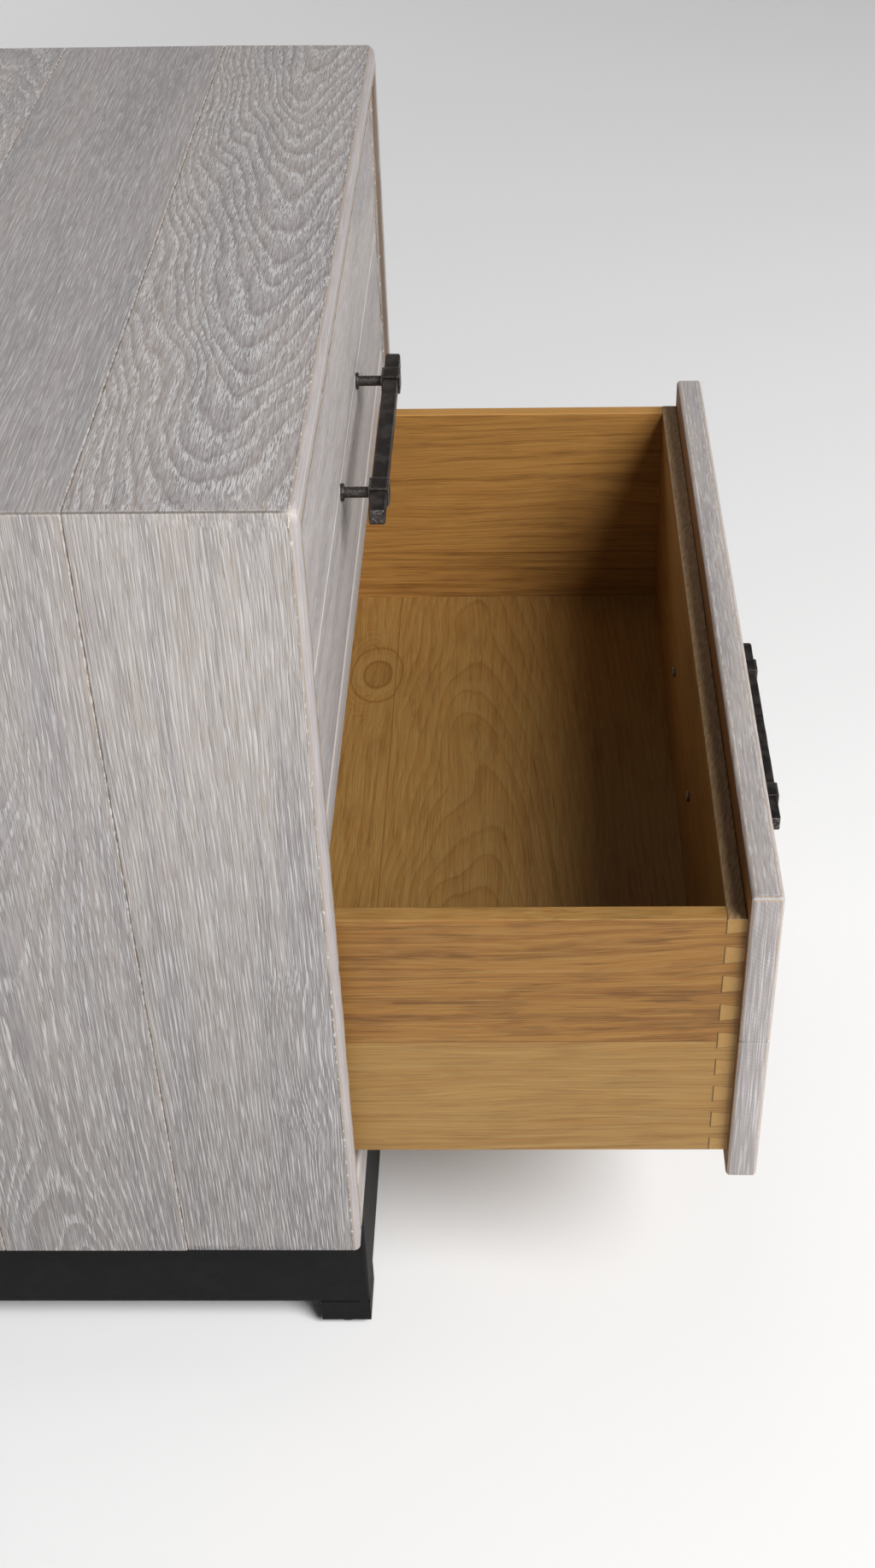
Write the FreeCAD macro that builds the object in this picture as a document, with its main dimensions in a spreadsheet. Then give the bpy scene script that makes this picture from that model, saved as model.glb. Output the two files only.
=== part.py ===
"""Two-drawer nightstand: a mitred case of oak planks on an iron base, with dovetailed drawer boxes.

Millimetres. +Z is up, the front faces -Y, and the origin lies on the floor under the middle of the
whole, taken with the lower drawer as it is modelled, pulled out. The upper drawer is shut.
"""
import FreeCAD
import Part
import Sketcher
import math
import os

doc = FreeCAD.newDocument("nightstand")
sheet = doc.addObject("Spreadsheet::Sheet", "sizes")


class Size:
    """A number together with the spreadsheet formula that gives it."""

    def __init__(self, text, number):
        self.text = text
        self.number = number

    def combine(self, sign, other, number):
        return Size(f"({self.text} {sign} {other.text})", number)

    def __add__(self, other):
        other = as_size(other)
        return self.combine("+", other, self.number + other.number)

    def __radd__(self, other):
        return as_size(other) + self

    def __sub__(self, other):
        other = as_size(other)
        return self.combine("-", other, self.number - other.number)

    def __rsub__(self, other):
        return as_size(other) - self

    def __mul__(self, other):
        other = as_size(other)
        return self.combine("*", other, self.number * other.number)

    def __rmul__(self, other):
        return as_size(other) * self

    def __truediv__(self, other):
        other = as_size(other)
        return self.combine("/", other, self.number / other.number)

    def __neg__(self):
        return 0 - self

    def floor(self):
        return Size(f"floor({self.text})", math.floor(self.number))


def as_size(value):
    return value if isinstance(value, Size) else Size(str(value), value)


def size(alias, number, meaning):
    """Write one driving dimension to the next line of the sheet."""
    line = len(size_names) + 1
    size_names.append(alias)
    sheet.set(f"A{line}", meaning)
    sheet.set(f"B{line}", number)
    sheet.setAlias(f"B{line}", alias)
    return Size(f"sizes.{alias}", float(number))


size_names = []

# Case of edge-glued planks.
width = size("width", "720", "outside width of the case")
depth = size("depth", "500", "outside depth of the case")
height = size("height", "710", "floor to the top surface")
panel = size("panel", "20", "thickness of the top and side planks")
plank_1 = size("plank_1", "119", "width of the front plank of the top and sides")
plank_2 = size("plank_2", "126", "width of the second plank")
plank_3 = size("plank_3", "131", "width of the third plank")
front_round = size("front_round", "4.5", "round-over on the outer front arris")
inner_round = size("inner_round", "1.5", "easing of the inner arrises")
rear_round = size("rear_round", "2", "easing of the outer rear arris")
seam_bevel = size("seam_bevel", "0.8", "bevel of each plank along a seam")
mitre_bevel = size("mitre_bevel", "0.5", "bevel of each plank along the outer mitre line")
rail_high = size("rail_high", "27", "height of the rail between the drawers")
bottom_rail_high = size("bottom_rail_high", "47", "height of the rail below the drawers")
rail_thick = size("rail_thick", "20", "thickness of both front rails")
rail_round = size("rail_round", "2.5", "easing of the rails' front arrises")
back_thick = size("back_thick", "12", "thickness of the back panel")
back_inset = size("back_inset", "8", "back panel to the rear edges of the case")
bottom_thick = size("bottom_thick", "18", "thickness of the case bottom")

# Drawer fronts, set back a little inside the case.
recess = size("recess", "6", "case front to the drawer faces")
reveal = size("reveal", "2.5", "gap round each drawer front")
front_thick = size("front_thick", "20.5", "thickness of the drawer fronts")
lower_extra = size("lower_extra", "25", "how much taller the lower drawer front is than the upper")
front_plank = size("front_plank", "122.5", "height of the upper plank of each drawer front")
drawer_round = size("drawer_round", "3", "round-over of the drawer fronts")
lower_open = size("lower_open", "276", "how far the lower drawer is pulled out as modelled")

# Dovetailed drawer boxes.
box_board = size("box_board", "12.5", "thickness of the box sides, front and back")
box_clear = size("box_clear", "9", "box side to the case side")
box_rear_gap = size("box_rear_gap", "13.5", "box to the back panel of the case")
box_below = size("box_below", "22", "top of the drawer front to the top of the box")
box_above = size("box_above", "21", "bottom of the drawer front to the bottom of the box")
box_round = size("box_round", "1.2", "easing of the top edges of the box")
floor_thick = size("floor_thick", "9", "thickness of the drawer bottom")
floor_up = size("floor_up", "13", "underside of the drawer bottom above the box's lower edge")
groove_deep = size("groove_deep", "6", "depth of the groove that holds the drawer bottom")
pin_pitch = size("pin_pitch", "25", "spacing of the dovetail pins")
pin_narrow = size("pin_narrow", "11.5", "dovetail pin at the end of the joint")
pin_wide = size("pin_wide", "14.6", "dovetail pin at its root")

# Concealed three-member drawer slides.
slide_short = size("slide_short", "1.5", "rear end of a slide to the rear of the box")
slide_wall = size("slide_wall", "1.5", "sheet thickness of the slide members")
slide_run = size("slide_run", "0.4", "running clearance between slide members")
slide_in = size("slide_in", "8", "box side to the drawer member")
slide_lip = size("slide_lip", "8", "height of the lips on the outer members")
slide_back = size("slide_back", "1", "box front to the end of the cabinet member")
tube_wide = size("tube_wide", "16", "width of the middle member")
tube_high = size("tube_high", "18", "height of the middle member")
flange_high = size("flange_high", "40", "height of the cabinet member's wall flange")
notch_clear = size("notch_clear", "2", "clearance of the box back round the slides")
slide_bite = size("slide_bite", "13", "how far the slide screws reach into the side planks")

# Forged pulls and their screws.
pull_under = size("pull_under", "6", "seam of a drawer front to the pull's axis")
pull_span = size("pull_span", "160", "distance between the posts")
bar_side = size("bar_side", "11", "side of the square bar")
bar_long = size("bar_long", "226", "length of the bar")
bar_gap = size("bar_gap", "20", "drawer face to the bar")
forge_round = size("forge_round", "1.2", "softened edges of the forged bar")
collar_wall = size("collar_wall", "1.3", "thickness of the collars")
collar_wide = size("collar_wide", "15", "length of the collars along the bar")
collar_round = size("collar_round", "0.8", "softened edges of the collars")
post_wide = size("post_wide", "7.4", "diameter of the posts")
rose_wide = size("rose_wide", "12", "diameter of the flange at the foot of a post")
rose_thick = size("rose_thick", "2.2", "thickness of that flange")
rose_round = size("rose_round", "0.6", "softened rim of that flange")
screw_wide = size("screw_wide", "4", "diameter of the screws")
screw_room = size("screw_room", "0.4", "clearance on the diameter of a screw hole")
head_wide = size("head_wide", "8", "diameter of the screw heads")
head_high = size("head_high", "2.4", "height of the screw heads")
head_round = size("head_round", "0.9", "round-over of the screw heads")
thread_deep = size("thread_deep", "12", "depth of the tapped hole in a post")
thread_spare = size("thread_spare", "1", "tapped hole beyond the screw's end")

# Iron base.
base_high = size("base_high", "125", "floor to the underside of the case")
base_inset = size("base_inset", "30", "case side and back to the base")
base_plate = size("base_plate", "8", "thickness of the base rails")
base_round = size("base_round", "2.5", "softened outer arrises of the base rails")
foot_side = size("foot_side", "36", "side of the square feet")
foot_high = size("foot_high", "22", "height of the feet")
foot_round = size("foot_round", "2", "softened edges of the feet")
glide_wide = size("glide_wide", "28", "diameter of the glides")
glide_high = size("glide_high", "5", "height of the glides")
gusset_side = size("gusset_side", "60", "side of the corner gussets")
gusset_thick = size("gusset_thick", "6", "thickness of the corner gussets")
base_bite = size("base_bite", "13", "how far the base screws reach into the case bottom")

doc.recompute()

# Levels and planes that several pieces share.
half_width = width / 2
inner_half = half_width - panel
drawer_reach = lower_open - recess + bar_gap + bar_side + collar_wall
case_front = (drawer_reach - depth) / 2
case_rear = case_front + depth
face_y = case_front + recess
box_y = face_y + front_thick
back_y = case_rear - back_inset - back_thick
box_long = back_y - box_y - box_rear_gap
drawer_room = height - panel - base_high - bottom_rail_high - rail_high - 4 * reveal
upper_front = (drawer_room - lower_extra) / 2
lower_front = upper_front + lower_extra
upper_top = height - panel - reveal
rail_top = upper_top - upper_front - reveal
lower_top = rail_top - rail_high - reveal
front_half = inner_half - reveal
box_half = inner_half - box_clear
hole_radius = (screw_wide + screw_room) / 2

LEFT, RIGHT = -1, 1
NEAR = 0.01
nodes = []


def tie(thing, **formulas):
    """Bind properties of a document object to spreadsheet formulas."""
    for name, formula in formulas.items():
        thing.setExpression(name.replace("__", "."), as_size(formula).text)


def new_body(name):
    body = doc.addObject("PartDesign::Body", name)
    body.Label = name
    body.AllowCompound = True
    nodes.append(body)
    return body


def add(body, kind, at, turn=FreeCAD.Rotation(), **formulas):
    """Add a PartDesign primitive to a body, with its corner or centre at a tied point."""
    feature = body.newObject(f"PartDesign::{kind}", f"{body.Name}_{kind}")
    feature.Placement = FreeCAD.Placement(FreeCAD.Vector(), turn)
    x, y, z = at
    tie(feature, Placement__Base__x=x, Placement__Base__y=y, Placement__Base__z=z, **formulas)
    body.Tip = feature
    return feature


def block(body, at, long, deep, high, cut=False):
    kind = "SubtractiveBox" if cut else "AdditiveBox"
    return add(body, kind, at, Length=long, Width=deep, Height=high)


ALONG_X = FreeCAD.Rotation(FreeCAD.Vector(0, 1, 0), 90)
ALONG_Y = FreeCAD.Rotation(FreeCAD.Vector(1, 0, 0), -90)
UPRIGHT = FreeCAD.Rotation()


def rod(body, at, radius, long, turn=UPRIGHT, cut=False):
    kind = "SubtractiveCylinder" if cut else "AdditiveCylinder"
    return add(body, kind, at, turn, Radius=radius, Height=long)


def edges_on(shape, places):
    """Names of the edges that lie on all the named sides of the shape's box, such as "-y +z"."""
    box = shape.BoundBox
    limits = {"-x": box.XMin, "+x": box.XMax, "-y": box.YMin, "+y": box.YMax, "-z": box.ZMin, "+z": box.ZMax}

    def lies(edge, side):
        span = edge.BoundBox
        ends = {"x": (span.XMin, span.XMax), "y": (span.YMin, span.YMax), "z": (span.ZMin, span.ZMax)}
        return all(abs(end - limits[side]) < NEAR for end in ends[side[1]])

    return [
        f"Edge{number}"
        for number, edge in enumerate(shape.Edges, start=1)
        if any(all(lies(edge, side) for side in place.split()) for place in places)
    ]


def ease(body, kind, amount, *places):
    """Fillet or chamfer the edges of a body that lie at the named places."""
    doc.recompute()
    base = body.Tip
    feature = body.newObject(f"PartDesign::{kind}", f"{body.Name}_{kind}")
    feature.Base = (base, edges_on(base.Shape, places))
    tie(feature, **{"Radius" if kind == "Fillet" else "Size": amount})
    body.Tip = feature
    return feature


def origin_part(body, role):
    return next(part for part in body.Origin.OriginFeatures if part.Role == role)


def repeat_up(body, feature, pitch, count):
    """Repeat a feature upwards along Z."""
    pattern = body.newObject("PartDesign::LinearPattern", f"{body.Name}_row")
    pattern.Originals = [feature]
    pattern.Direction = (origin_part(body, "Z_Axis"), [""])
    tie(pattern, Length=pitch * (count - 1), Occurrences=count)
    body.Tip = pattern
    return pattern


def outline(sketch, corners):
    """Draw one closed outline, each corner tied to formulas measured from the sketch's origin."""
    first = sketch.GeometryCount
    points = [FreeCAD.Vector(as_size(u).number, as_size(v).number, 0) for u, v in corners]
    for start, end in zip(points, points[1:] + points[:1]):
        sketch.addGeometry(Part.LineSegment(start, end))
    for step, (u, v) in enumerate(corners):
        line = first + step
        following = first + (step + 1) % len(corners)
        sketch.addConstraint(Sketcher.Constraint("Coincident", line, 2, following, 1))
        for kind, axis, formula in (("DistanceX", -2, u), ("DistanceY", -1, v)):
            formula = as_size(formula)
            if formula.number == 0:
                sketch.addConstraint(Sketcher.Constraint("PointOnObject", line, 1, axis))
            else:
                number = sketch.addConstraint(Sketcher.Constraint(kind, -1, 1, line, 1, formula.number))
                sketch.setExpression(f"Constraints[{number}]", formula.text)


def extrude_back(body, at, side, long, *outlines):
    """Pad outlines drawn in the XZ plane towards +Y; on the right side they are drawn mirrored."""
    sketch = body.newObject("Sketcher::SketchObject", f"{body.Name}_profile")
    sketch.AttachmentSupport = [(origin_part(body, "XZ_Plane"), "")]
    sketch.MapMode = "FlatFace"
    turn = FreeCAD.Rotation(FreeCAD.Vector(0, 1, 0), 0 if side == LEFT else 180)
    sketch.AttachmentOffset = FreeCAD.Placement(FreeCAD.Vector(), turn)
    x, y, z = at
    tie(sketch, AttachmentOffset__Base__x=x, AttachmentOffset__Base__y=z, AttachmentOffset__Base__z=-y)
    for corners in outlines:
        outline(sketch, corners)
    pad = body.newObject("PartDesign::Pad", f"{body.Name}_pad")
    pad.Profile = sketch
    pad.Reversed = side == LEFT
    tie(pad, Length=long)
    body.Tip = pad
    return pad


# Top and side planks: they run over the mitred corners in line, so that each seam turns down the side.
TURN_TOP = FreeCAD.Rotation(FreeCAD.Vector(1, 0, 0), 90)
TURN_SIDE = FreeCAD.Rotation(FreeCAD.Vector(1, 1, 1), 240)
side_high = height - base_high


def ease_plank(body, number, outer, inner, *mitres):
    """Round the free front and rear arrises of a plank, and bevel its seams and mitres."""
    ease(body, "Chamfer", mitre_bevel, *mitres)
    if number == 1:
        ease(body, "Fillet", front_round, f"-y {outer}")
        ease(body, "Fillet", inner_round, f"-y {inner}")
    if number == len(plank_widths):
        ease(body, "Fillet", rear_round, f"+y {outer}")
    seams = []
    if number > 1:
        seams.append(f"-y {outer}")
    if number < len(plank_widths):
        seams.append(f"+y {outer}")
    ease(body, "Chamfer", seam_bevel, *seams)


plank_widths = (plank_1, plank_2, plank_3, depth - plank_1 - plank_2 - plank_3)
plank_y = case_front
side_planks = {LEFT: [], RIGHT: []}
plank_middles = []
for number, plank in enumerate(plank_widths, start=1):
    top = new_body(f"top_plank_{number}")
    add(
        top, "AdditiveWedge", (0, plank_y + plank, height - panel), TURN_TOP,
        Xmin=-inner_half, Xmax=inner_half, X2min=-half_width, X2max=half_width,
        Ymin=0, Ymax=panel, Zmin=0, Zmax=plank, Z2min=0, Z2max=plank,
    )
    ease_plank(top, number, "+z", "-z", "-x +z", "+x +z")
    left = new_body(f"left_plank_{number}")
    add(
        left, "AdditiveWedge", (-half_width, plank_y, base_high), TURN_SIDE,
        Xmin=0, Xmax=side_high, X2min=0, X2max=side_high - panel,
        Ymin=0, Ymax=panel, Zmin=0, Zmax=plank, Z2min=0, Z2max=plank,
    )
    ease_plank(left, number, "-x", "+x", "-x +z")
    right = new_body(f"right_plank_{number}")
    add(
        right, "AdditiveWedge", (inner_half, plank_y, base_high), TURN_SIDE,
        Xmin=0, Xmax=side_high - panel, X2min=0, X2max=side_high,
        Ymin=0, Ymax=panel, Zmin=0, Zmax=plank, Z2min=0, Z2max=plank,
    )
    ease_plank(right, number, "+x", "-x", "+x +z")
    side_planks[LEFT].append(left)
    side_planks[RIGHT].append(right)
    plank_middles.append(plank_y + plank / 2)
    plank_y = plank_y + plank

# Rails between and below the drawers, case bottom and back.
mid_rail = new_body("mid_rail")
block(mid_rail, (-inner_half, face_y, rail_top - rail_high), 2 * inner_half, rail_thick, rail_high)
ease(mid_rail, "Fillet", rail_round, "-y -z", "-y +z")

bottom_rail = new_body("bottom_rail")
block(bottom_rail, (-inner_half, case_front, base_high), 2 * inner_half, rail_thick, bottom_rail_high)
ease(bottom_rail, "Fillet", rail_round, "-y -z", "-y +z")

bottom_y = case_front + rail_thick
bottom_panel = new_body("bottom_panel")
block(bottom_panel, (-inner_half, bottom_y, base_high), 2 * inner_half, back_y - bottom_y, bottom_thick)

back_panel = new_body("back_panel")
block(back_panel, (-inner_half, back_y, base_high), 2 * inner_half, back_thick, side_high - panel)


# Drawer boxes: tails on the sides, pins on the front and back, and a bottom held in grooves.
def pin(body, at, long, deep, near, far, cut_count):
    """Cut a row of flared slots: near and far are the slot's heights at its front and at its rear."""
    slot = add(
        body, "SubtractiveWedge", at, Xmin=0, Xmax=long, X2min=0, X2max=long, Ymin=0, Ymax=deep,
        Zmin=-near / 2, Zmax=near / 2, Z2min=-far / 2, Z2max=far / 2,
    )
    repeat_up(body, slot, pin_pitch, cut_count)


def box_side(name, side, y, z, high):
    """One box side: slots for the pins at both ends, and the groove for the bottom."""
    body = new_body(name)
    x = -box_half if side == LEFT else box_half - box_board
    block(body, (x, y, z), box_board, box_long, high)
    ease(body, "Fillet", box_round, "-x +z", "+x +z")
    count = (high / pin_pitch).floor() + 1
    first = z + (high - pin_pitch * (count - 1)) / 2
    pin(body, (x, y, first), box_board, box_board, pin_narrow, pin_wide, count)
    pin(body, (x, y + box_long - box_board, first), box_board, box_board, pin_wide, pin_narrow, count)
    groove_x = x + box_board - groove_deep if side == LEFT else x
    groove_y = y + box_board - groove_deep
    groove_long = box_long - 2 * (box_board - groove_deep)
    block(body, (groove_x, groove_y, z + floor_up), groove_deep, groove_long, floor_thick, cut=True)


def box_end(name, y, z, high, near, far, groove_y):
    """The box front or back: slots for the tails at both ends, and the groove for the bottom."""
    body = new_body(name)
    block(body, (-box_half, y, z), 2 * box_half, box_board, high)
    ease(body, "Fillet", box_round, "-y +z", "+y +z")
    count = (high / pin_pitch).floor()
    first = z + (high - pin_pitch * (count - 1)) / 2
    for x in (-box_half, box_half - box_board):
        pin(body, (x, y, first), box_board, box_board, pin_pitch - near, pin_pitch - far, count)
    groove_x = box_board - box_half
    block(body, (groove_x, groove_y, z + floor_up), -2 * groove_x, groove_deep, floor_thick, cut=True)
    return body


def drawer_box(tag, y, z, high, pull_z):
    box_side(f"{tag}_box_left", LEFT, y, z, high)
    box_side(f"{tag}_box_right", RIGHT, y, z, high)
    front = box_end(f"{tag}_box_front", y, z, high, pin_narrow, pin_wide, y + box_board - groove_deep)
    pull_holes(front, y, box_board, pull_z)
    rear_y = y + box_long - box_board
    back = box_end(f"{tag}_box_back", rear_y, z, high, pin_wide, pin_narrow, rear_y)
    notch_x = box_half - box_board - slide_in + notch_clear
    notch_wide = slide_span + 2 * notch_clear
    for x in (-notch_x, notch_x - notch_wide):
        block(back, (x, rear_y, z), notch_wide, box_board, floor_up, cut=True)
    bottom = new_body(f"{tag}_box_bottom")
    edge = box_board - groove_deep
    block(
        bottom, (edge - box_half, y + edge, z + floor_up),
        2 * (box_half - edge), box_long - 2 * edge, floor_thick,
    )


# Concealed slides under the drawer: a wall-mounted cabinet member, a tube and a drawer member.
slide_u = box_clear + box_board + slide_in
slide_span = 2 * slide_wall + 2 * slide_run + tube_wide
slide_long = box_long - box_board - slide_back - slide_short
slide_screws = new_body("slide_screws")


def fix_slide(cabinet, side, web_z):
    """Screw a cabinet member to the middle of each plank of its case side."""
    z = web_z + flange_high * 3 / 4
    wall_x = side * inner_half
    shank_x = wall_x - slide_bite if side == LEFT else wall_x - slide_wall
    pilot_x = shank_x - thread_spare if side == LEFT else wall_x
    flange_x = wall_x if side == LEFT else wall_x - slide_wall
    head_x = wall_x + slide_wall if side == LEFT else wall_x - slide_wall - head_high
    for plank, y in zip(side_planks[side], plank_middles):
        rod(plank, (pilot_x, y, z), hole_radius, slide_bite + thread_spare, ALONG_X, cut=True)
        rod(cabinet, (flange_x, y, z), hole_radius, slide_wall, ALONG_X, cut=True)
        rod(slide_screws, (shank_x, y, z), screw_wide / 2, slide_bite + slide_wall, ALONG_X)
        rod(slide_screws, (head_x, y, z), head_wide / 2, head_high, ALONG_X)


def slide(tag, side, z, open_by):
    """Three nested members whose top lies against the underside of the drawer bottom at z."""
    word = "left" if side == LEFT else "right"
    inward = -side
    wall_x = side * inner_half
    lip_x = wall_x + inward * slide_u
    tube_x = lip_x + inward * (slide_wall + slide_run)
    start_y = box_y + box_board + slide_back
    tube_z = z - slide_wall - slide_run - tube_high
    web_z = tube_z - slide_run - slide_wall
    reach = slide_u + slide_span
    lip_top = slide_wall + slide_lip
    cabinet = new_body(f"{tag}_slide_{word}_cabinet")
    extrude_back(
        cabinet, (wall_x, start_y, web_z), side, slide_long,
        [
            (0, 0), (reach, 0), (reach, lip_top), (reach - slide_wall, lip_top),
            (reach - slide_wall, slide_wall), (slide_u + slide_wall, slide_wall),
            (slide_u + slide_wall, lip_top), (slide_u, lip_top), (slide_u, slide_wall),
            (slide_wall, slide_wall), (slide_wall, flange_high), (0, flange_high),
        ],
    )
    fix_slide(cabinet, side, web_z)
    middle = new_body(f"{tag}_slide_{word}_middle")
    inside = (tube_wide - slide_wall, tube_high - slide_wall)
    extrude_back(
        middle, (tube_x, start_y - open_by / 2, tube_z), side, slide_long,
        [(0, 0), (tube_wide, 0), (tube_wide, tube_high), (0, tube_high)],
        [(slide_wall, slide_wall), (inside[0], slide_wall), inside, (slide_wall, inside[1])],
    )
    runner = new_body(f"{tag}_slide_{word}_runner")
    extrude_back(
        runner, (lip_x, start_y - open_by, z - lip_top), side, slide_long,
        [
            (0, 0), (slide_wall, 0), (slide_wall, slide_lip), (slide_span - slide_wall, slide_lip),
            (slide_span - slide_wall, 0), (slide_span, 0), (slide_span, lip_top), (0, lip_top),
        ],
    )


# Drawer fronts of two edge-glued planks each.
def pull_holes(body, y, deep, z):
    for x in (-pull_span / 2, pull_span / 2):
        rod(body, (x, y, z), hole_radius, deep, ALONG_Y, cut=True)


def drawer_front(tag, y, top, high, pull_z):
    upper = new_body(f"{tag}_front_upper_plank")
    block(upper, (-front_half, y, top - front_plank), 2 * front_half, front_thick, front_plank)
    rounded = ("-y {0}", "+y {0}", "-x {0}", "+x {0}", "-x -y", "-x +y", "+x -y", "+x +y")
    ease(upper, "Fillet", drawer_round, *(place.format("+z") for place in rounded))
    ease(upper, "Chamfer", seam_bevel, "-y -z", "+y -z")
    lower = new_body(f"{tag}_front_lower_plank")
    block(lower, (-front_half, y, top - high), 2 * front_half, front_thick, high - front_plank)
    ease(lower, "Fillet", drawer_round, *(place.format("-z") for place in rounded))
    ease(lower, "Chamfer", seam_bevel, "-y +z", "+y +z")
    pull_holes(lower, y, front_thick, pull_z)


# Forged iron pulls: a square bar, two collars wrapped round it, two posts, and their screws.
def pull(tag, y, z):
    post_x = (-pull_span / 2, pull_span / 2)
    bar_y = y - bar_gap - bar_side
    bar = new_body(f"{tag}_pull_bar")
    block(bar, (-bar_long / 2, bar_y, z - bar_side / 2), bar_long, bar_side, bar_side)
    ends = ("-x {}", "+x {}")
    long_edges = ("-y -z", "-y +z", "+y -z", "+y +z")
    end_edges = [end.format(side) for end in ends for side in ("-y", "+y", "-z", "+z")]
    ease(bar, "Fillet", forge_round, *long_edges, *end_edges)

    collars = new_body(f"{tag}_pull_collars")
    collar_side = bar_side + 2 * collar_wall
    for x in post_x:
        at = (x - collar_wide / 2, bar_y - collar_wall, z - collar_side / 2)
        block(collars, at, collar_wide, collar_side, collar_side)
    ease(collars, "Fillet", collar_round, *long_edges)
    block(collars, (-bar_long / 2, bar_y, z - bar_side / 2), bar_long, bar_side, bar_side, cut=True)

    posts = new_body(f"{tag}_pull_posts")
    post_long = bar_gap - collar_wall
    for x in post_x:
        rod(posts, (x, y - rose_thick, z), rose_wide / 2, rose_thick, ALONG_Y)
    ease(posts, "Fillet", rose_round, "-y")
    for x in post_x:
        rod(posts, (x, y - post_long, z), post_wide / 2, post_long, ALONG_Y)
        rod(posts, (x, y - thread_deep, z), hole_radius, thread_deep, ALONG_Y, cut=True)

    screws = new_body(f"{tag}_pull_screws")
    grip = thread_deep - thread_spare + front_thick + box_board
    for x in post_x:
        rod(screws, (x, y + front_thick + box_board, z), head_wide / 2, head_high, ALONG_Y)
    ease(screws, "Fillet", head_round, "+y")
    for x in post_x:
        rod(screws, (x, y - thread_deep + thread_spare, z), screw_wide / 2, grip, ALONG_Y)


def drawer(tag, top, high, open_by):
    """One drawer with its front, box, slides and pull, pulled out by the given distance."""
    box_z = top - high + box_above
    pull_z = top - front_plank - pull_under
    drawer_front(tag, face_y - open_by, top, high, pull_z)
    drawer_box(tag, box_y - open_by, box_z, high - box_above - box_below, pull_z)
    for side in (LEFT, RIGHT):
        slide(tag, side, box_z + floor_up, open_by)
    pull(tag, face_y - open_by, pull_z)


drawer("upper", upper_top, upper_front, as_size(0))
drawer("lower", lower_top, lower_front, lower_open)

# Iron base: four welded rails on square feet, with gussets that are screwed to the case bottom.
base_half = half_width - base_inset
base_rear = case_rear - base_inset
rail_z = glide_high + foot_high
base_rail_high = base_high - rail_z

front_rail = new_body("base_front_rail")
block(front_rail, (-base_half, case_front, rail_z), 2 * base_half, base_plate, base_rail_high)
ease(front_rail, "Fillet", base_round, "-y -z", "-x -y", "+x -y")

rear_rail = new_body("base_rear_rail")
block(rear_rail, (-base_half, base_rear - base_plate, rail_z), 2 * base_half, base_plate, base_rail_high)
ease(rear_rail, "Fillet", base_round, "+y -z", "-x +y", "+x +y")

rail_y = case_front + base_plate
rail_long = base_rear - base_plate - rail_y
for word, x, outer in (("left", -base_half, "-x"), ("right", base_half - base_plate, "+x")):
    side_rail = new_body(f"base_{word}_rail")
    block(side_rail, (x, rail_y, rail_z), base_plate, rail_long, base_rail_high)
    ease(side_rail, "Fillet", base_round, f"{outer} -z")


def corners(inset, side):
    """Lower corners of four squares set inside the corners of the base."""
    for x in (inset - base_half, base_half - inset - side):
        for y in (case_front + inset, base_rear - inset - side):
            yield x, y


feet = new_body("base_feet")
for x, y in corners(0, foot_side):
    block(feet, (x, y, glide_high), foot_side, foot_side, foot_high)
ease(feet, "Fillet", foot_round, "-z")

glides = new_body("base_glides")
for x, y in corners(0, foot_side):
    rod(glides, (x + foot_side / 2, y + foot_side / 2, 0), glide_wide / 2, glide_high)

gussets = new_body("base_gussets")
gusset_z = base_high - gusset_thick
for x, y in corners(base_plate, gusset_side):
    block(gussets, (x, y, gusset_z), gusset_side, gusset_side, gusset_thick)

base_screws = new_body("base_screws")
for x, y in corners(base_plate, gusset_side):
    middle = (x + gusset_side / 2, y + gusset_side / 2)
    rod(gussets, (*middle, gusset_z), hole_radius, gusset_thick, cut=True)
    rod(bottom_panel, (*middle, base_high), hole_radius, base_bite + thread_spare, cut=True)
    rod(base_screws, (*middle, gusset_z - head_high), head_wide / 2, head_high)
    rod(base_screws, (*middle, gusset_z), screw_wide / 2, gusset_thick + base_bite)

doc.recompute()
for thing in doc.Objects:
    if "Invalid" in thing.State or "Error" in thing.State:
        raise RuntimeError(f"{thing.Label} failed: {thing.State}")
for body in nodes:
    if body.Shape.isNull() or not body.Shape.isValid() or not body.Shape.Solids:
        raise RuntimeError(f"{body.Label} has no valid solid")

os.makedirs("parts", exist_ok=True)
for body in nodes:
    body.Shape.exportStep(f"parts/{body.Label}.step")
    print(body.Label, len(body.Shape.Solids), round(body.Shape.Volume))
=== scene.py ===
import math

import bmesh
import bpy
from mathutils import Matrix, Vector, noise


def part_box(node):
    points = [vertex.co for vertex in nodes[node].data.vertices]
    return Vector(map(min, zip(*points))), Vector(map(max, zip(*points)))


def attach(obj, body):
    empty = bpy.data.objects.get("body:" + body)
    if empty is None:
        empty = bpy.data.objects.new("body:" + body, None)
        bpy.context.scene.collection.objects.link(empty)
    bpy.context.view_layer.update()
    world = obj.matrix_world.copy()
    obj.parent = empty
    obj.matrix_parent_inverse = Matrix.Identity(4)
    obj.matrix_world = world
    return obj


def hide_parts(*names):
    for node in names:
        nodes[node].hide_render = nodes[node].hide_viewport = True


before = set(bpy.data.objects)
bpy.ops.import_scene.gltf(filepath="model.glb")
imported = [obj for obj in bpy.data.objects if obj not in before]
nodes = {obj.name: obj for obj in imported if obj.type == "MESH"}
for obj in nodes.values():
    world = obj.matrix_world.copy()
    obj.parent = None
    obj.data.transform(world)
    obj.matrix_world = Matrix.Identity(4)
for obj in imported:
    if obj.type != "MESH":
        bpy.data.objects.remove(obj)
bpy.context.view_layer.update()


# Iron base: four rails of plate welded at the corners on square feet, blackened and waxed. Gussets
# inside the corners take zinc-plated screws up into the case bottom; glides stand on the floor.
MM = 0.001


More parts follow.
